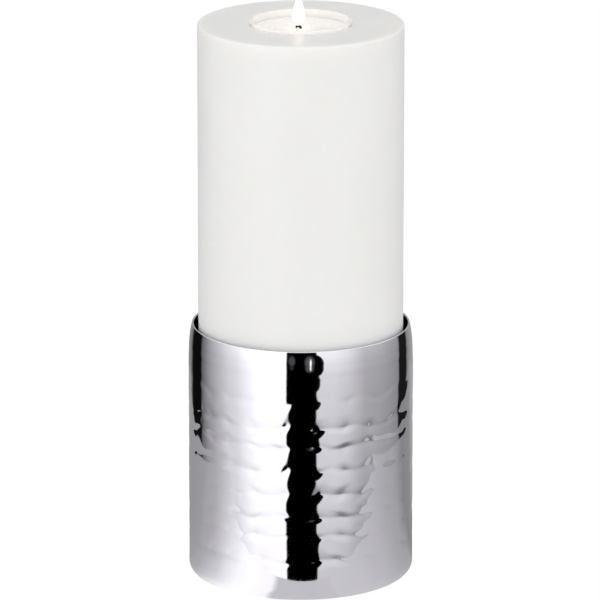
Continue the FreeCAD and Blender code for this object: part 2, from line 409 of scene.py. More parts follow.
# %% [markdown]
# The creases between the rows are at uneven heights, and the blows of a row are only
# roughly in line with those of the next, because a hand held the hammer. A blow differs from
# the next in its place, depth and tilt. The random draws are seeded, so the sleeve is the
# same each time.

# %% Where the hammer fell
CREASE_HEIGHTS = [h * MM for h in (8.9, 16.9, 26.6, 34.7, 43.5, 53.2, 62.5, 69.8, 81.5)]
HAMMER_SEED = 21
BLOWS_PER_ROW = 24
TILT = 0.018

# How far rows and blows are out of line, as shares of a blow's width
FIRST_ROW_SHIFT = 0.06
ROW_SHIFT = 0.16
BLOW_SHIFT = 0.10

# How far a blow is off the middle of its row, and in or out, in millimetres
HEIGHT_SHIFT = 0.3
BLOW_OFFSET = 0.016

# Depth of the shallowest and the deepest blow, as shares of an ordinary one
BLOW_SHARES = (0.45, 1.55)

# The wide, nearly smooth band above the rows
SMOOTH_BLOWS = 17
SMOOTH_HEIGHT = 91.4 * MM
SMOOTH_SHARE = 0.35
SMOOTH_SHIFT = 0.2


def hammer_blows():
    """Every cushion: angle round the sleeve, height, half sizes, share, offset and tilts."""
    draw = random.Random(HAMMER_SEED)
    blows = []
    half_width = math.pi / BLOWS_PER_ROW * sleeve_radius
    start = -math.tau / 4 + FIRST_ROW_SHIFT * math.tau / BLOWS_PER_ROW
    for low, high in zip(CREASE_HEIGHTS, CREASE_HEIGHTS[1:]):
        start += draw.uniform(-ROW_SHIFT, ROW_SHIFT) * math.tau / BLOWS_PER_ROW
        for i in range(BLOWS_PER_ROW):
            shift = draw.uniform(-BLOW_SHIFT, BLOW_SHIFT)
            angle = start + (i + shift) / BLOWS_PER_ROW * math.tau
            height = (low + high) / 2 + draw.uniform(-HEIGHT_SHIFT, HEIGHT_SHIFT) * MM
            share = draw.uniform(*BLOW_SHARES)
            offset = draw.uniform(-BLOW_OFFSET, BLOW_OFFSET) * MM
            tilts = draw.uniform(-TILT, TILT), draw.uniform(-TILT, TILT)
            blows.append((angle, height, half_width, (high - low) / 2, share, offset, *tilts))
    start = draw.random()
    reach = SMOOTH_HEIGHT - CREASE_HEIGHTS[-1]
    width = math.pi / SMOOTH_BLOWS * sleeve_radius
    for i in range(SMOOTH_BLOWS):
        shift = draw.uniform(-SMOOTH_SHIFT, SMOOTH_SHIFT)
        angle = (i + start + shift) / SMOOTH_BLOWS * math.tau
        lean = draw.uniform(-TILT, TILT) * SMOOTH_SHARE
        blows.append((angle, SMOOTH_HEIGHT, width, reach, SMOOTH_SHARE, 0.0, lean, 0.0))
    print(f"{len(blows)} blows, the last {SMOOTH_BLOWS} of them in the smooth band")
    return np.array(blows)


# %% How deep the metal lies at a place
CREASE_DEPTH = 0.085 * MM
SEAM_DEPTH = 0.035 * MM
PIT_DEPTH = 0.165 * MM
CREASE_SOFTNESS = 0.030 * MM
# A depth to start from, far below every cushion, in metres
OUT_OF_REACH = 1.0
# The least power of e that a blend uses. It is as good as nothing
LEAST_POWER = -30


def struck_depth(angles, heights, blows):
    """Depth below the unstruck side, at many places at once."""
    least = np.full(len(angles), OUT_OF_REACH)
    for angle, height, half_width, half_height, share, offset, lean, tip in blows:
        across = ((angles - angle + math.pi) % math.tau - math.pi) * sleeve_radius
        rise = heights - height
        if height > CREASE_HEIGHTS[-1]:
            rise = np.minimum(rise, 0)
        if height < CREASE_HEIGHTS[1]:
            rise = np.maximum(rise, 0)
        near = (abs(across) < 2 * half_width) & (abs(rise) < 2 * half_height)
        along = (across[near] / half_width) ** 2
        up = (rise[near] / half_height) ** 2
        depth = CREASE_DEPTH * (0.5 * up + 0.5 * up**2)
        depth += share * along * (SEAM_DEPTH + PIT_DEPTH * up)
        depth += offset + lean * across[near] + tip * rise[near]
        low = np.minimum(least[near], depth)
        high = np.maximum(least[near], depth)
        blend = np.exp(np.maximum((low - high) / CREASE_SOFTNESS, LEAST_POWER))
        least[near] = low - CREASE_SOFTNESS * np.log1p(blend)
    return np.maximum(least, 0)


# %% [markdown]
# No wall that was made by hand is quite straight, and no row quite level. Three slow changes
# are added for that: the pattern drifts sideways and up by less than a millimetre, the wall
# as a whole sways a little inwards, and it leans in below the shoulder. The rim and the foot
# keep their shape, so all of it fades out towards both.

# %% Strike the wall
DRIFT = 0.9 * MM
DRIFT_LENGTH = 15 * MM
# Where in the noise the drift along and the drift up begin, as given here
DRIFT_STARTS = Vector((18.5, 6.5, 4.5)), Vector((20.6, 13.9, 23.2))
SWAY = 0.16 * MM
SWAY_LENGTH = 26 * MM
LEAN_START = 82.0 * MM
LEAN_DEPTH = 0.22 * MM
LEAN_POWER = 1.4
FADE_TOP = 6 * MM
FADE_FOOT = 7 * MM


def drift_at(place):
    """How far the pattern drifts here, along the side and up it, from -1 to 1.

    noise_vector would be shorter, but it starts from the clock and differs on each run.
    """
    spot = place / DRIFT_LENGTH
    return noise.noise(spot + DRIFT_STARTS[0]), noise.noise(spot + DRIFT_STARTS[1])


def strike(bm, blows):
    """Moves the outer wall's vertices inwards."""
    wall = [v for v in bm.verts if v.co.z > sleeve_foot + FOOT_CORNER / 2 and is_outer(v)]
    angles = np.array([math.atan2(v.co.y, v.co.x) for v in wall])
    heights = np.array([v.co.z for v in wall])
    drift = DRIFT * np.array([drift_at(v.co) for v in wall])
    depth = struck_depth(angles + drift[:, 0] / sleeve_radius, heights + drift[:, 1], blows)
    depth += [SWAY * noise_share(v.co / SWAY_LENGTH) for v in wall]
    shoulder = sleeve_rim - SHOULDER_RISE
    lean = np.clip((heights - LEAN_START) / (shoulder - LEAN_START), 0, 1)
    depth += LEAN_DEPTH * lean**LEAN_POWER
    depth *= np.clip((sleeve_rim - heights) / FADE_TOP, 0, 1)
    depth *= np.clip((heights - sleeve_foot - FOOT_CORNER / 2) / FADE_FOOT, 0, 1)
    for vert, deep in zip(wall, depth):
        radius = math.hypot(vert.co.x, vert.co.y)
        share = (radius - deep) / radius
        vert.co.x *= share
        vert.co.y *= share
    print(f"struck {len(wall)} vertices, deepest {1000 * depth.max():.3f} mm")


def is_outer(vert):
    """Whether a vertex of the spun wall lies on its outer face."""
    curve = (SHOULDER_RISE**2 + RIM_DRAW**2) / (2 * RIM_DRAW)
    rise = max(0.0, vert.co.z - (sleeve_rim - SHOULDER_RISE))
    drawn = curve - math.sqrt(curve**2 - rise**2)
    return math.hypot(vert.co.x, vert.co.y) > sleeve_radius - drawn - SLEEVE_WALL / 2


# %% Make the sleeve
def make_sleeve():
    bm = bmesh.new()
    sleeve_profile(bm)
    spin_profile(bm, SLEEVE_STEPS)
    strike(bm, hammer_blows())
    sleeve = finish_mesh(bm, "sleeve_hammered", polished_metal)
    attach(sleeve, "holder")
    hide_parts("hammered_sleeve")


make_sleeve()


# %% [markdown]
# ## Finish: candle wax
#
# Hard white wax lets light in a few millimetres deep, which softens every edge and every
# shadow. That is what the shader's subsurface part is for. The surface is satin, slightly
# uneven from the mould, and a little glossier in patches.

# %% Candle wax
WAX_TINTS = [(0.3, (0.875, 0.87, 0.855)), (0.7, (0.895, 0.89, 0.877))]
WAX_ROUGHNESS = (0.33, 0.42)
WAX_LIGHT_DEPTH = 4 * MM
STREAK_SIZE, STREAK_DEPTH = 12 * MM, 0.06 * MM
GRAIN_SIZE, GRAIN_DEPTH = 1.2 * MM, 0.01 * MM


def make_candle_wax():
    material, tree, shader = new_material("hard_wax")
    cloud = noise_on(tree, 35 * MM, detail=2.0)
    tree.links.new(colour_ramp(tree, cloud, WAX_TINTS), shader.inputs["Base Color"])
    shader.inputs["Subsurface Weight"].default_value = 0.6
    shader.inputs["Subsurface Radius"].default_value = (1.0, 0.8, 0.6)
    shader.inputs["Subsurface Scale"].default_value = WAX_LIGHT_DEPTH
    shader.inputs["IOR"].default_value = 1.44
    streaks = noise_on(tree, STREAK_SIZE, detail=2.0, stretch=(1, 1, 0.15))
    tree.links.new(spread(tree, streaks, *WAX_ROUGHNESS), shader.inputs["Roughness"])
    grain = noise_on(tree, GRAIN_SIZE, detail=3.0)
    bump_from(tree, shader, [(streaks, STREAK_DEPTH, 0.5), (grain, GRAIN_DEPTH, 0.5)])
    return material


candle_wax = make_candle_wax()
print("made", candle_wax.name)


# %% [markdown]
# ## The pillar candle
#
# The candle was pressed or poured in a smooth mould and then bored for the tealight. Its
# profile is five straight runs, and three of its corners are rounded. The spun mesh is then
# moved by slow noise of less than a tenth of a millimetre, because no mould is perfect.

# %% Candle
CANDLE_TOP_ROUND = 0.8 * MM
CANDLE_BASE_ROUND = 1.5 * MM
BORE_GAP = 0.35 * MM
BORE_ROUND = 0.5 * MM
CANDLE_WAVE = 0.05 * MM
CANDLE_WAVE_LENGTH = 30 * MM
CANDLE_STEPS = 224
CANDLE_ROW = 4 * MM


def make_candle():
    bm = bmesh.new()
    bore = cup_radius + BORE_GAP
    points = [
        (0, candle_foot),
        (candle_radius, candle_foot),
        (candle_radius, candle_top),
        (bore, candle_top),
        (bore, cup_foot),
        (0, cup_foot),
    ]
    verts = draw_profile(bm, points)
    round_corners(bm, [verts[2]], CANDLE_TOP_ROUND, segments=5)
    round_corners(bm, [verts[1]], CANDLE_BASE_ROUND, segments=4)
    round_corners(bm, [verts[3]], BORE_ROUND, segments=4)
    cut_edges(bm, CANDLE_ROW)
    spin_profile(bm, CANDLE_STEPS)
    for vert in bm.verts:
        if vert.co.z > candle_foot + CANDLE_BASE_ROUND:
            wave = noise_share(vert.co / CANDLE_WAVE_LENGTH)
            out = Vector((vert.co.x, vert.co.y, 0)) / candle_radius
            vert.co -= out * CANDLE_WAVE * wave
    candle = finish_mesh(bm, "candle_pillar", candle_wax)
    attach(candle, "candle")
    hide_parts("candle_body")


make_candle()


# %% [markdown]
# ## The tealight's clear cup
#
# The cup is one moulded piece of clear plastic. Only its rim shows, as two thin bright
# rings, so the rim needs a real lip with round edges and the wall its real thickness.
# A fully clear cup showed dark rings here that the real one doesn't have. So this plastic is
# milky: it lets a bit more than half of the light straight through, and a weak glow of its
# own stands in for the light that the flame sends into it.

# %% Clear plastic
CUP_TINTS = [(0.3, (0.93, 0.905, 0.89)), (0.7, (0.96, 0.94, 0.93))]
CUP_ROUGHNESS = (0.10, 0.22)
CUP_ALPHA = 0.45
SMEAR_SIZE, SMEAR_DEPTH = 3 * MM, 0.01 * MM
FLAMELIT_GLOW = 0.12


def make_clear_plastic():
    material, tree, shader = new_material("clear_plastic")
    shader.inputs["IOR"].default_value = 1.4
    shader.inputs["Alpha"].default_value = CUP_ALPHA
    smears = noise_on(tree, SMEAR_SIZE, detail=2.0)
    tint = colour_ramp(tree, smears, CUP_TINTS)
    tree.links.new(tint, shader.inputs["Base Color"])
    tree.links.new(tint, shader.inputs["Emission Color"])
    shader.inputs["Emission Strength"].default_value = FLAMELIT_GLOW
    tree.links.new(spread(tree, smears, *CUP_ROUGHNESS), shader.inputs["Roughness"])
    bump_from(tree, shader, [(smears, SMEAR_DEPTH, 0.4)])
    return material


clear_plastic = make_clear_plastic()
print("made", clear_plastic.name)

# %% Cup
CUP_WALL = 0.8 * MM
CUP_DRAFT = 0.9 * MM
LIP_WIDTH = 0.25 * MM
LIP_HEIGHT = 1.1 * MM
CUP_FLOOR_ROUND = 1.0 * MM
CUP_STEPS = 144
CUP_ROW = 4 * MM


def make_cup():
    bm = bmesh.new()
    side_top = cup_radius - LIP_WIDTH
    side_foot = side_top - CUP_DRAFT
    points = [
        (0, cup_foot),
        (side_foot, cup_foot),
        (side_top, cup_rim - LIP_HEIGHT),
        (cup_radius, cup_rim - LIP_HEIGHT),
        (cup_radius, cup_rim),
        (side_top - CUP_WALL, cup_rim),
        (side_foot - CUP_WALL, cup_foot + CUP_WALL),
        (0, cup_foot + CUP_WALL),
    ]
    verts = draw_profile(bm, points)
    round_corners(bm, [verts[4], verts[5]], LIP_WIDTH, segments=4)
    round_corners(bm, [verts[1]], CUP_FLOOR_ROUND, segments=4)
    cut_edges(bm, CUP_ROW)
    spin_profile(bm, CUP_STEPS)
    cup = finish_mesh(bm, "cup_clear", clear_plastic)
    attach(cup, "tealight")
    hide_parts("tealight_cup")


make_cup()


# %% [markdown]
# ## The tealight's wax
#
# The flame has melted the wax round the wick, so the surface is wet and glossy. It climbs
# a little at the cup's wall and at the wick, as any liquid that wets its vessel does. It
# has the same weak glow as the cup, for the light that the flame sends into it.

# %% Tealight wax
WAX_GAP = 0.15 * MM
WAX_CLIMB = 0.45 * MM
WAX_CLIMB_WIDTH = 1.6 * MM
WICK_CLIMB = 0.12 * MM
WICK_CLIMB_WIDTH = 1.4 * MM
CLIMB_POINTS = 6
POOL_ROW = 2.5 * MM
POOL_TINTS = [(0.3, (0.88, 0.86, 0.84)), (0.7, (0.91, 0.89, 0.87))]
POOL_ROUGHNESS = (0.10, 0.18)
POOL_LIGHT_DEPTH = 3 * MM


def make_tealight_wax_material():
    material, tree, shader = new_material("melted_wax")
    cloud = noise_on(tree, 7 * MM, detail=2.0)
    tint = colour_ramp(tree, cloud, POOL_TINTS)
    tree.links.new(tint, shader.inputs["Base Color"])
    tree.links.new(tint, shader.inputs["Emission Color"])
    shader.inputs["Emission Strength"].default_value = FLAMELIT_GLOW
    shader.inputs["Subsurface Weight"].default_value = 0.7
    shader.inputs["Subsurface Radius"].default_value = (1.0, 0.7, 0.5)
    shader.inputs["Subsurface Scale"].default_value = POOL_LIGHT_DEPTH
    shader.inputs["IOR"].default_value = 1.43
    tree.links.new(spread(tree, cloud, *POOL_ROUGHNESS), shader.inputs["Roughness"])
    ripple = noise_on(tree, 4 * MM, detail=1.0)
    bump_from(tree, shader, [(ripple, 0.02 * MM, 0.6)])
    return material


def make_tealight_wax():
    bm = bmesh.new()
    low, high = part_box("tealight_wax")
    floor, crest = low.z, high.z
    level = crest - WAX_CLIMB
    side = cup_radius - LIP_WIDTH - CUP_WALL - WAX_GAP
    foot = side - CUP_DRAFT
    curve = (WAX_CLIMB**2 + WAX_CLIMB_WIDTH**2) / (2 * WAX_CLIMB)
    wet_edge = high.x
    start = wet_edge - WAX_CLIMB_WIDTH
    shares = [i / CLIMB_POINTS for i in range(1, CLIMB_POINTS + 1)]
    climb = [start + WAX_CLIMB_WIDTH * s for s in shares]
    rise = [curve - math.sqrt(curve**2 - (r - start) ** 2) for r in climb]
    points = [(0, floor), (foot, floor)]
    points += [(r, level + z) for r, z in zip(climb, rise)][::-1]
    points += [(start, level), (WICK_CLIMB_WIDTH, level), (0, level + WICK_CLIMB)]
    draw_profile(bm, points)
    cut_edges(bm, POOL_ROW)
    spin_profile(bm, CUP_STEPS)
    wax = finish_mesh(bm, "wax_pool", make_tealight_wax_material())
    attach(wax, "tealight")
    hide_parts("tealight_wax")
    return level


wax_level = make_tealight_wax()
print(f"wax stands at {1000 * wax_level:.2f} mm")


# %% [markdown]
# ## The burnt wick
#
# Above the wax, the cotton cord is charred: black, matt, lumpy, and curled over to one
# side. The cord is a ring of points pushed straight up, spun round the bend and pushed on
# along the tip. Noise then roughens it, and a narrow waist parts the bend from the knob at
# the tip.

# %% Charred cotton
CHAR_TINTS = [(0.3, (0.006, 0.005, 0.005)), (0.75, (0.035, 0.028, 0.024))]


def make_burnt_wick_material():
    material, tree, shader = new_material("charred_cotton")
    char = noise_on(tree, 0.5 * MM, detail=4.0)
    tree.links.new(colour_ramp(tree, char, CHAR_TINTS), shader.inputs["Base Color"])
    tree.links.new(spread(tree, char, 0.7, 0.95), shader.inputs["Roughness"])
    bump_from(tree, shader, [(char, 0.08 * MM, 0.8)])
    return material


# %% Wick
WICK_BEND = 0.75 * MM
WICK_RISE = 0.1 * MM
WICK_TIP = 1.3 * MM
WICK_SIDES = 20
CHAR_LUMP = 0.07 * MM
CHAR_LUMP_SIZE = 0.55 * MM

# Places along the curl, from 0 to 1, with widths, and what is cut away, in wick radii
WAIST_PLACE, WAIST_WIDTH, WAIST_CUT = 0.52, 0.13, 0.5
KNOB_PLACE, KNOB_WIDTH, KNOB_CUT = 0.85, 0.16, 0.1
DROOP_START, DROOP = 0.3, 0.5


def make_wick():
    bm = bmesh.new()
    low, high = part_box("wick")
    radius = (high.y - low.y) / 2
    ring = bmesh.ops.create_circle(bm, cap_ends=True, segments=WICK_SIDES, radius=radius)
    bmesh.ops.translate(bm, verts=ring["verts"], vec=(0, 0, low.z))
    edges = list(bm.edges)
    straight = wax_level + WICK_RISE
    edges = push(bm, edges, Vector((0, 0, straight - low.z)), steps=14)
    pivot = Vector((-WICK_BEND, 0, straight))
    bent = bmesh.ops.spin(
        bm, geom=edges, cent=pivot, axis=(0, 1, 0), angle=-math.pi / 2, steps=10
    )
    edges = [g for g in bent["geom_last"] if isinstance(g, bmesh.types.BMEdge)]
    edges = push(bm, edges, Vector((-WICK_TIP, 0, 0)), steps=8)
    bmesh.ops.edgeloop_fill(bm, edges=edges)
    char_the_tip(bm, radius)
    wick = finish_mesh(bm, "wick_burnt", make_burnt_wick_material())
    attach(wick, "tealight")
    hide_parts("wick")


def push(bm, edges, way, steps):
    """Extrudes a ring of edges along a straight way in several steps."""
    for _ in range(steps):
        pushed = bmesh.ops.extrude_edge_only(bm, edges=edges)["geom"]
        verts = [g for g in pushed if isinstance(g, bmesh.types.BMVert)]
        bmesh.ops.translate(bm, verts=verts, vec=way / steps)
        edges = [g for g in pushed if isinstance(g, bmesh.types.BMEdge)]
        edges = [e for e in edges if all(v in verts for v in e.verts)]
    return edges


def bell(along, place, width):
    """1 at a place along the curl, and less on both sides of it."""
    return math.exp(-(((along - place) / width) ** 2))


def char_the_tip(bm, radius):
    """Lumps, a waist and a droop, on what stands above the wax."""
    bmesh.ops.recalc_face_normals(bm, faces=bm.faces)
    bm.normal_update()
    for vert in bm.verts:
        if vert.co.z < wax_level - radius:
            continue
        along = -vert.co.x / (WICK_BEND + WICK_TIP)
        lump = CHAR_LUMP * noise.noise(vert.co / CHAR_LUMP_SIZE)
        waist = WAIST_CUT * radius * bell(along, WAIST_PLACE, WAIST_WIDTH)
        knob = KNOB_CUT * radius * bell(along, KNOB_PLACE, KNOB_WIDTH)
        vert.co += vert.normal * (lump - waist - knob)
        vert.co.z -= DROOP * radius * max(0.0, along - DROOP_START)


make_wick()


# %% [markdown]
# ## The flame
#
# A flame isn't a solid piece, but the candle is lit in the photograph, so it is drawn. It
# is a drop turned round an upright axis through the wick's curl. The material glows, and
# fades to clear at its edges and towards its foot, where a real flame is almost invisible.

# %% Flame
FLAME_AXIS = -0.8 * MM
FLAME_FOOT = 2.2 * MM
FLAME_HEIGHT = 11.4 * MM
FLAME_WIDTH = 4.7 * MM
FLAME_STEPS = 40
FLAME_GLOW = 3.2
FLAME_POWER = 0.0018
FLAME_COLOURS = [
    (0.0, (0.55, 0.45, 0.42)), (0.2, (1.0, 0.80, 0.62)), (0.5, (1.0, 0.88, 0.72)),
    (1.0, (1.0, 0.74, 0.50)),
]
# Height and width, as shares of the whole
FLAME_SHARES = [
    (0.0, 0.0), (0.01, 0.50), (0.04, 0.76), (0.10, 0.92), (0.20, 1.0), (0.30, 0.98),
    (0.42, 0.90), (0.55, 0.76), (0.68, 0.58), (0.80, 0.38), (0.90, 0.20), (0.96, 0.10),
    (1.0, 0.0),
]


def make_flame_material(foot):
    material, tree, shader = new_material("flame")
    shader.inputs["Base Color"].default_value = (0.0, 0.0, 0.0, 1.0)
    shader.inputs["Roughness"].default_value = 1.0
    shader.inputs["Specular IOR Level"].default_value = 0.0
    shader.inputs["Emission Strength"].default_value = FLAME_GLOW
    split = add_node(tree, "ShaderNodeSeparateXYZ")
    tree.links.new(object_coordinates(tree), split.inputs["Vector"])
    height = spread(tree, split.outputs["Z"], 0.0, 1.0, foot, foot + FLAME_HEIGHT)
    glow = colour_ramp(tree, height, FLAME_COLOURS)
    tree.links.new(glow, shader.inputs["Emission Color"])
    facing = add_node(tree, "ShaderNodeLayerWeight")
    facing.inputs["Blend"].default_value = 0.35
    edge = spread(tree, facing.outputs["Facing"], 1.0, 0.0, 0.35, 0.95)
    rise = spread(tree, height, 0.0, 1.0, 0.02, 0.22)
    alpha = add_node(tree, "ShaderNodeMath", operation="MULTIPLY")
    tree.links.new(edge, alpha.inputs[0])
    tree.links.new(rise, alpha.inputs[1])
    tree.links.new(alpha.outputs["Value"], shader.inputs["Alpha"])
    return material


def make_flame():
    bm = bmesh.new()
    foot = wax_level + FLAME_FOOT
    axis = Vector((FLAME_AXIS, 0, 0))
    points = [
        (FLAME_AXIS + FLAME_WIDTH / 2 * width, foot + FLAME_HEIGHT * height)
        for height, width in FLAME_SHARES
    ]
    draw_profile(bm, points)
    spin_profile(bm, FLAME_STEPS, axis)
    flame = finish_mesh(bm, "flame", make_flame_material(foot))
    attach(flame, "tealight")
    return flame


def add_flame_light(flame):
    """The light that the flame throws on the wax. It goes where the flame goes."""
    data = bpy.data.lights.new("flame_light", "POINT")
    data.energy = FLAME_POWER
    data.color = (1.0, 0.80, 0.66)
    data.shadow_soft_size = 2 * MM
    light = bpy.data.objects.new("flame_light", data)
    scene.collection.objects.link(light)
    light.location = (FLAME_AXIS, 0, wax_level + FLAME_FOOT + FLAME_HEIGHT / 2)
    light.visible_glossy = False
    light.parent = flame


add_flame_light(make_flame())


# %% [markdown]
# ## Pieces that hardly show
#
# The tin clip stands in the wax, the base disc lies under the candle, and the felt is
# underneath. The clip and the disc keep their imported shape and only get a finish. The felt
# gets a mesh of its own, with a fuzzy surface and a soft edge.

# %% Finish for the clip and the disc
def make_sheet_metal(name, tint, roughness):
    """Plain rolled sheet: fine lines from the rollers, along X."""
    material, tree, shader = new_material(name)
    shader.inputs["Metallic"].default_value = 1.0
    lines = noise_on(tree, 0.6 * MM, detail=2.0, stretch=(0.04, 1, 1))
    darker = tuple(0.8 * c for c in tint)
    colour = colour_ramp(tree, lines, [(0.3, darker), (0.7, tint)])
    tree.links.new(colour, shader.inputs["Base Color"])
    tree.links.new(spread(tree, lines, roughness, roughness + 0.12), shader.inputs["Roughness"])
    bump_from(tree, shader, [(lines, 0.01 * MM, 0.6)])
    return material


def refinish(node, material):
    """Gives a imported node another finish. Its mesh stays as it is."""
    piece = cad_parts[node]
    for place in piece.material_slots:
        place.material = material
    print("refinished", node)


refinish("wick_clip", make_sheet_metal("tin", (0.66, 0.66, 0.68), 0.28))
refinish("base_disc", make_sheet_metal("plain_steel", (0.56, 0.56, 0.58), 0.30))

# %% Felt
FELT_ROUND = 0.35 * MM
FELT_FUZZ, FELT_FUZZ_SIZE = 0.03 * MM, 1.5 * MM
FELT_STEPS = 160
FELT_ROW = 1.2 * MM


def make_felt_material():
    material, tree, shader = new_material("felt_fibres")
    fibres = noise_on(tree, 0.35 * MM, detail=5.0, roughness=0.7)
    tint = colour_ramp(tree, fibres, [(0.3, (0.018, 0.018, 0.02)), (0.7, (0.06, 0.06, 0.066))])
    tree.links.new(tint, shader.inputs["Base Color"])
    tree.links.new(spread(tree, fibres, 0.85, 1.0), shader.inputs["Roughness"])
    shader.inputs["Sheen Weight"].default_value = 0.3
    bump_from(tree, shader, [(fibres, 0.15 * MM, 0.7)])
    return material


def make_felt():
    bm = bmesh.new()
    points = [(0, felt_foot), (felt_radius, felt_foot), (felt_radius, felt_top), (0, felt_top)]
    verts = draw_profile(bm, points)
    round_corners(bm, [verts[1]], FELT_ROUND, segments=3)
    cut_edges(bm, FELT_ROW)
    spin_profile(bm, FELT_STEPS)
    for vert in bm.verts:
        if vert.co.z < felt_top - FELT_ROUND:
            vert.co.z += FELT_FUZZ * noise_share(vert.co / FELT_FUZZ_SIZE)
    felt = finish_mesh(bm, "felt_disc", make_felt_material())
    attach(felt, "holder")
    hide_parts("felt_pad")


make_felt()


# %% [markdown]
# ## The floor
#
# The photograph has a pure white ground. The floor is therefore white by its own colour
# for the camera, and plain pale paint for the light that it bounces. A small share of it
# stays ordinary paint, which keeps a faint shadow at the foot. Mirrors don't see the floor:
# they get a table top of their own, in the next step.

# %% Floor
FLOOR_SIZE = 8.0
SHADOW_SHARE = 0.08
WHITE_STRENGTH = 1.04
PALE_PAINT = (0.8, 0.8, 0.8, 1.0)


def seen_directly(tree):
    """1 for rays from the camera, a mirror or clear plastic, and 0 for bounced light."""
    path = add_node(tree, "ShaderNodeLightPath")
    total = path.outputs["Is Camera Ray"]
    for name in ("Is Glossy Ray", "Is Transmission Ray"):
        node = add_node(tree, "ShaderNodeMath", operation="MAXIMUM")
        tree.links.new(total, node.inputs[0])
        tree.links.new(path.outputs[name], node.inputs[1])
        total = node.outputs["Value"]
    return total


def make_floor():
    material = bpy.data.materials.new("floor_white")
    material.use_nodes = True
    tree = material.node_tree
    tree.nodes.clear()
    paint = add_node(tree, "ShaderNodeBsdfDiffuse")
    paint.inputs["Color"].default_value = PALE_PAINT
    white = add_node(tree, "ShaderNodeEmission")
    white.inputs["Strength"].default_value = WHITE_STRENGTH
    share = add_node(tree, "ShaderNodeMixShader")
    share.inputs["Fac"].default_value = 1 - SHADOW_SHARE
    tree.links.new(paint.outputs["BSDF"], share.inputs[1])
    tree.links.new(white.outputs["Emission"], share.inputs[2])
    choice = add_node(tree, "ShaderNodeMixShader")
    tree.links.new(seen_directly(tree), choice.inputs["Fac"])
    tree.links.new(paint.outputs["BSDF"], choice.inputs[1])
    tree.links.new(share.outputs["Shader"], choice.inputs[2])
    output = add_node(tree, "ShaderNodeOutputMaterial")
    tree.links.new(choice.outputs["Shader"], output.inputs["Surface"])
    bm = bmesh.new()
    bmesh.ops.create_grid(bm, x_segments=1, y_segments=1, size=FLOOR_SIZE / 2)
    floor = finish_mesh(bm, "floor", material, smooth=False)
    floor.visible_glossy = False


make_floor()


# %% [markdown]
# ## What the metal sees
#
# A polished cylinder shows its whole surroundings, squeezed into its width. Here they are
# a large dome that glows differently in each direction, and a pale table top that ends
# close in front of the object. Seen from above by sixteen degrees, an upright wall mirrors
# what lies sixteen degrees below the horizon: the table top near the foot, and the dome
# further up. A black gap in the dome at the front, a white part to its left and a grey one
# to its right give the bands that the photograph shows. Some thirty degrees down, the dome
# has a darker belt. It makes the underside of each cushion dark and brings out the
# hammering. Below the belt the dome is pale again, so that the metal stays bright when it is
# seen from above.
#
# Both only show in reflections. The brightness by direction comes from a radial gradient
# and a ramp, and the brightness by height from another ramp.

# %% Brightness round the object
# Direction in degrees, anticlockwise from the front seen from above, and brightness
ROUND_ABOUT = [
    (-180, 0.30), (-158, 0.26), (-151, 0.16), (-148, 0.04), (-145.5, 0.004), (-124, 0.004),
    (-121, 0.14), (-116, 0.21), (-107, 0.35), (-97, 0.47), (-88, 0.59), (-79, 0.73),
    (-69, 0.82), (-58, 1.02), (-47, 1.20), (-14.7, 1.26), (-14.2, 0.0), (15.6, 0.0),
    (16.2, 0.70), (36, 0.70), (50, 0.61), (57, 0.53), (69, 0.42), (90, 0.37), (104, 0.32),
    (119, 0.26), (121.5, 0.01), (138, 0.01), (142, 0.22), (158, 0.34), (179.9, 0.30),
]
TABLE_ROUND_ABOUT = [
    (-180, 0.42), (-145, 0.32), (-126, 0.33), (-107, 0.36), (-97, 0.41), (-88, 0.45),
    (-79, 0.54), (-69, 0.68), (-58, 0.90), (-47, 1.10), (-36, 1.16), (-20, 1.08),
    (-16, 0.60), (20, 0.60), (22, 0.64), (46, 0.60), (69, 0.52), (82, 0.46), (101, 0.39),
    (117, 0.26), (135, 0.28), (150, 0.40), (179.9, 0.42),
]
# Elevation in degrees and share of the brightness above, on the left and on the right
UP_LEFT = [
    (-90, 0.65), (-38, 0.62), (-32, 0.55), (-27, 0.75), (-23, 0.85), (-16, 0.96), (-9, 1.0),
    (5, 1.2), (30, 1.3),
]
UP_RIGHT = [
    (-90, 0.65), (-38, 0.60), (-29, 0.28), (-24, 0.45), (-20, 0.8), (-17, 1.0), (5, 1.35),
    (30, 1.45),
]
# Where the left half gives way to the right one, as x on a dome of radius 1
LEFT_TO_RIGHT = (-0.15, 0.15)
# Where the dome turns white overhead, as height on a dome of radius 1
WHITE_ABOVE = (0.42, 0.55)
# Dark oval that widens the gap's head: direction, elevation, half width and half height
DARK_HEAD = (13.0, -3.0, 10.8, 13.5)
HEAD_BLUR = 0.04
# Highlights in the gap: direction, elevation, half width, half height, brightness
GLINTS = [
    (10.0, -1.4, 1.2, 7.0, 1.2), (9.0, 0.0, 6.0, 10.0, 0.10), (-9.0, 2.0, 4.0, 8.0, 0.07),
]


def grey(value):
    return (value, value, value)


def direction_ramp(tree, vector, stops):
    """Brightness by direction round the Z axis."""
    turned = add_node(tree, "ShaderNodeMapping")
    turned.inputs["Rotation"].default_value = (0, 0, math.radians(90))
    tree.links.new(vector, turned.inputs["Vector"])
    gradient = add_node(tree, "ShaderNodeTexGradient", gradient_type="RADIAL")
    tree.links.new(turned.outputs["Vector"], gradient.inputs["Vector"])
    placed = [((turn + 180) / 360, grey(light)) for turn, light in stops]
    return colour_ramp(tree, gradient.outputs["Fac"], placed)


def elevation_ramp(tree, height, stops):
    """A share by elevation, where height is the sine of the elevation."""
    placed = [(0.5 + 0.5 * math.sin(math.radians(up)), grey(share)) for up, share in stops]
    return colour_ramp(tree, spread(tree, height, 0.0, 1.0, -1.0, 1.0), placed)


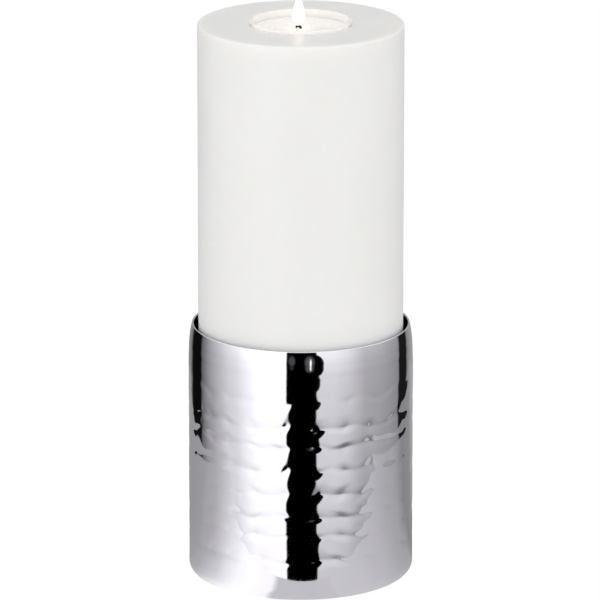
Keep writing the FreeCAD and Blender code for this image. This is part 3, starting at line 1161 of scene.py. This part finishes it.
def mix_colours(tree, blend, fac, a, b):
    """Mixes two colour outputs. fac is a number or an output."""
    node = add_node(tree, "ShaderNodeMix", data_type="RGBA", blend_type=blend)
    if isinstance(fac, (int, float)):
        node.inputs["Factor"].default_value = fac
    else:
        tree.links.new(fac, node.inputs["Factor"])
    tree.links.new(a, node.inputs["A"])
    tree.links.new(b, node.inputs["B"])
    return node.outputs["Result"]


# %% The dome's glow
def glint(tree, vector, direction, elevation, half_width, half_height, light, blur=0.5):
    """An oval of light on the dome. blur is the share of it that fades out."""
    turn, rise = math.radians(direction), math.radians(elevation)
    level = math.cos(rise)
    place = Vector((math.sin(turn) * level, -math.cos(turn) * level, math.sin(rise)))
    centred = add_node(tree, "ShaderNodeVectorMath", operation="SUBTRACT")
    tree.links.new(vector, centred.inputs[0])
    centred.inputs[1].default_value = place
    shaped = add_node(tree, "ShaderNodeMapping")
    wide, tall = math.radians(half_width), math.radians(half_height)
    shaped.inputs["Scale"].default_value = (1 / wide, 1 / wide, 1 / tall)
    tree.links.new(centred.outputs["Vector"], shaped.inputs["Vector"])
    ball = add_node(tree, "ShaderNodeTexGradient", gradient_type="SPHERICAL")
    tree.links.new(shaped.outputs["Vector"], ball.inputs["Vector"])
    stops = [(0.0, grey(0)), (blur, grey(light)), (1.0, grey(light))]
    return colour_ramp(tree, ball.outputs["Fac"], stops)


def dome_glow(tree):
    unit = add_node(tree, "ShaderNodeVectorMath", operation="NORMALIZE")
    tree.links.new(object_coordinates(tree), unit.inputs[0])
    vector = unit.outputs["Vector"]
    split = add_node(tree, "ShaderNodeSeparateXYZ")
    tree.links.new(vector, split.inputs["Vector"])
    around = direction_ramp(tree, vector, ROUND_ABOUT)
    left = elevation_ramp(tree, split.outputs["Z"], UP_LEFT)
    right = elevation_ramp(tree, split.outputs["Z"], UP_RIGHT)
    side = spread(tree, split.outputs["X"], 0.0, 1.0, *LEFT_TO_RIGHT)
    share = mix_colours(tree, "MIX", side, left, right)
    glow = mix_colours(tree, "MULTIPLY", 1.0, around, share)
    outside_head = add_node(tree, "ShaderNodeInvert")
    head = glint(tree, vector, *DARK_HEAD, light=1.0, blur=HEAD_BLUR)
    tree.links.new(head, outside_head.inputs["Color"])
    glow = mix_colours(tree, "MULTIPLY", 1.0, glow, outside_head.outputs["Color"])
    for place in GLINTS:
        glow = mix_colours(tree, "ADD", 1.0, glow, glint(tree, vector, *place))
    above = spread(tree, split.outputs["Z"], 0.0, 1.0, *WHITE_ABOVE)
    white = add_node(tree, "ShaderNodeRGB")
    white.outputs["Color"].default_value = (1.0, 1.0, 1.0, 1.0)
    return mix_colours(tree, "MIX", above, glow, white.outputs["Color"])


# %% Dome and table top
def only_in_reflections(stage_piece):
    stage_piece.visible_camera = False
    stage_piece.visible_diffuse = False
    stage_piece.visible_shadow = False
    stage_piece.visible_transmission = False


def glowing(name, colour_of):
    """A material that only glows, with the colour that colour_of makes in its tree."""
    material = bpy.data.materials.new(name)
    material.use_nodes = True
    tree = material.node_tree
    tree.nodes.clear()
    glow = add_node(tree, "ShaderNodeEmission")
    tree.links.new(colour_of(tree), glow.inputs["Color"])
    output = add_node(tree, "ShaderNodeOutputMaterial")
    tree.links.new(glow.outputs["Emission"], output.inputs["Surface"])
    return material


def table_glow(tree):
    return direction_ramp(tree, object_coordinates(tree), TABLE_ROUND_ABOUT)


DOME_RADIUS = 6.0
TABLE_CORNERS = [(-0.230, -0.071), (0.213, -0.071), (0.213, 0.270), (-0.140, 0.270)]
TABLE_HEIGHT = 0.2 * MM


def make_dome():
    bm = bmesh.new()
    bmesh.ops.create_uvsphere(bm, u_segments=64, v_segments=32, radius=DOME_RADIUS)
    only_in_reflections(finish_mesh(bm, "dome", glowing("dome_glow", dome_glow)))


def make_table_top():
    bm = bmesh.new()
    verts = [bm.verts.new((x, y, TABLE_HEIGHT)) for x, y in TABLE_CORNERS]
    bmesh.ops.contextual_create(bm, geom=verts)
    material = glowing("table_top", table_glow)
    only_in_reflections(finish_mesh(bm, "table_top", material, smooth=False))


make_dome()
make_table_top()


# %% [markdown]
# ## The light
#
# The candle is lit by soft light from everywhere: a bright horizon, a dimmer sky, so that
# the candle's top is a little darker than its sides, and two large soft lamps, the left one
# a little stronger. To the camera the world is plain white, and mirrors see the dome.

# %% World
# Height on a sky of radius 1, from the horizon up, and brightness
SKY = [(0.0, 1.08), (0.45, 0.86), (1.0, 0.72)]


def make_world():
    world = bpy.data.worlds.new("studio")
    scene.world = world
    world.use_nodes = True
    tree = world.node_tree
    tree.nodes.clear()
    split = add_node(tree, "ShaderNodeSeparateXYZ")
    way = add_node(tree, "ShaderNodeTexCoord").outputs["Generated"]
    tree.links.new(way, split.inputs["Vector"])
    sky = colour_ramp(tree, split.outputs["Z"], [(up, grey(light)) for up, light in SKY])
    soft = add_node(tree, "ShaderNodeBackground")
    tree.links.new(sky, soft.inputs["Color"])
    white = add_node(tree, "ShaderNodeBackground")
    white.inputs["Color"].default_value = (1.0, 1.0, 1.0, 1.0)
    choice = add_node(tree, "ShaderNodeMixShader")
    tree.links.new(seen_directly(tree), choice.inputs["Fac"])
    tree.links.new(soft.outputs["Background"], choice.inputs[1])
    tree.links.new(white.outputs["Background"], choice.inputs[2])
    output = add_node(tree, "ShaderNodeOutputWorld")
    tree.links.new(choice.outputs["Shader"], output.inputs["Surface"])
    print("world made")


make_world()

# %% Lamps
LAMP_AIM = Vector((0, 0, 0.12))
LAMP_SIZE = 0.9
LAMPS = {"left_lamp": ((-1.0, -1.2, 0.6), 3.6), "right_lamp": ((1.1, -1.1, 0.6), 3.0)}


def add_lamp(name, place, power):
    data = bpy.data.lights.new(name, "AREA")
    data.shape = "SQUARE"
    data.size = LAMP_SIZE
    data.energy = power
    lamp = bpy.data.objects.new(name, data)
    scene.collection.objects.link(lamp)
    lamp.location = place
    lamp.rotation_euler = (LAMP_AIM - Vector(place)).to_track_quat("-Z", "Y").to_euler()
    lamp.visible_glossy = False
    print(f"{name}: {data.energy} W, {data.size} m wide")


for lamp_name, (lamp_place, lamp_power) in LAMPS.items():
    add_lamp(lamp_name, lamp_place, lamp_power)


# %% Finish
print("scene built")
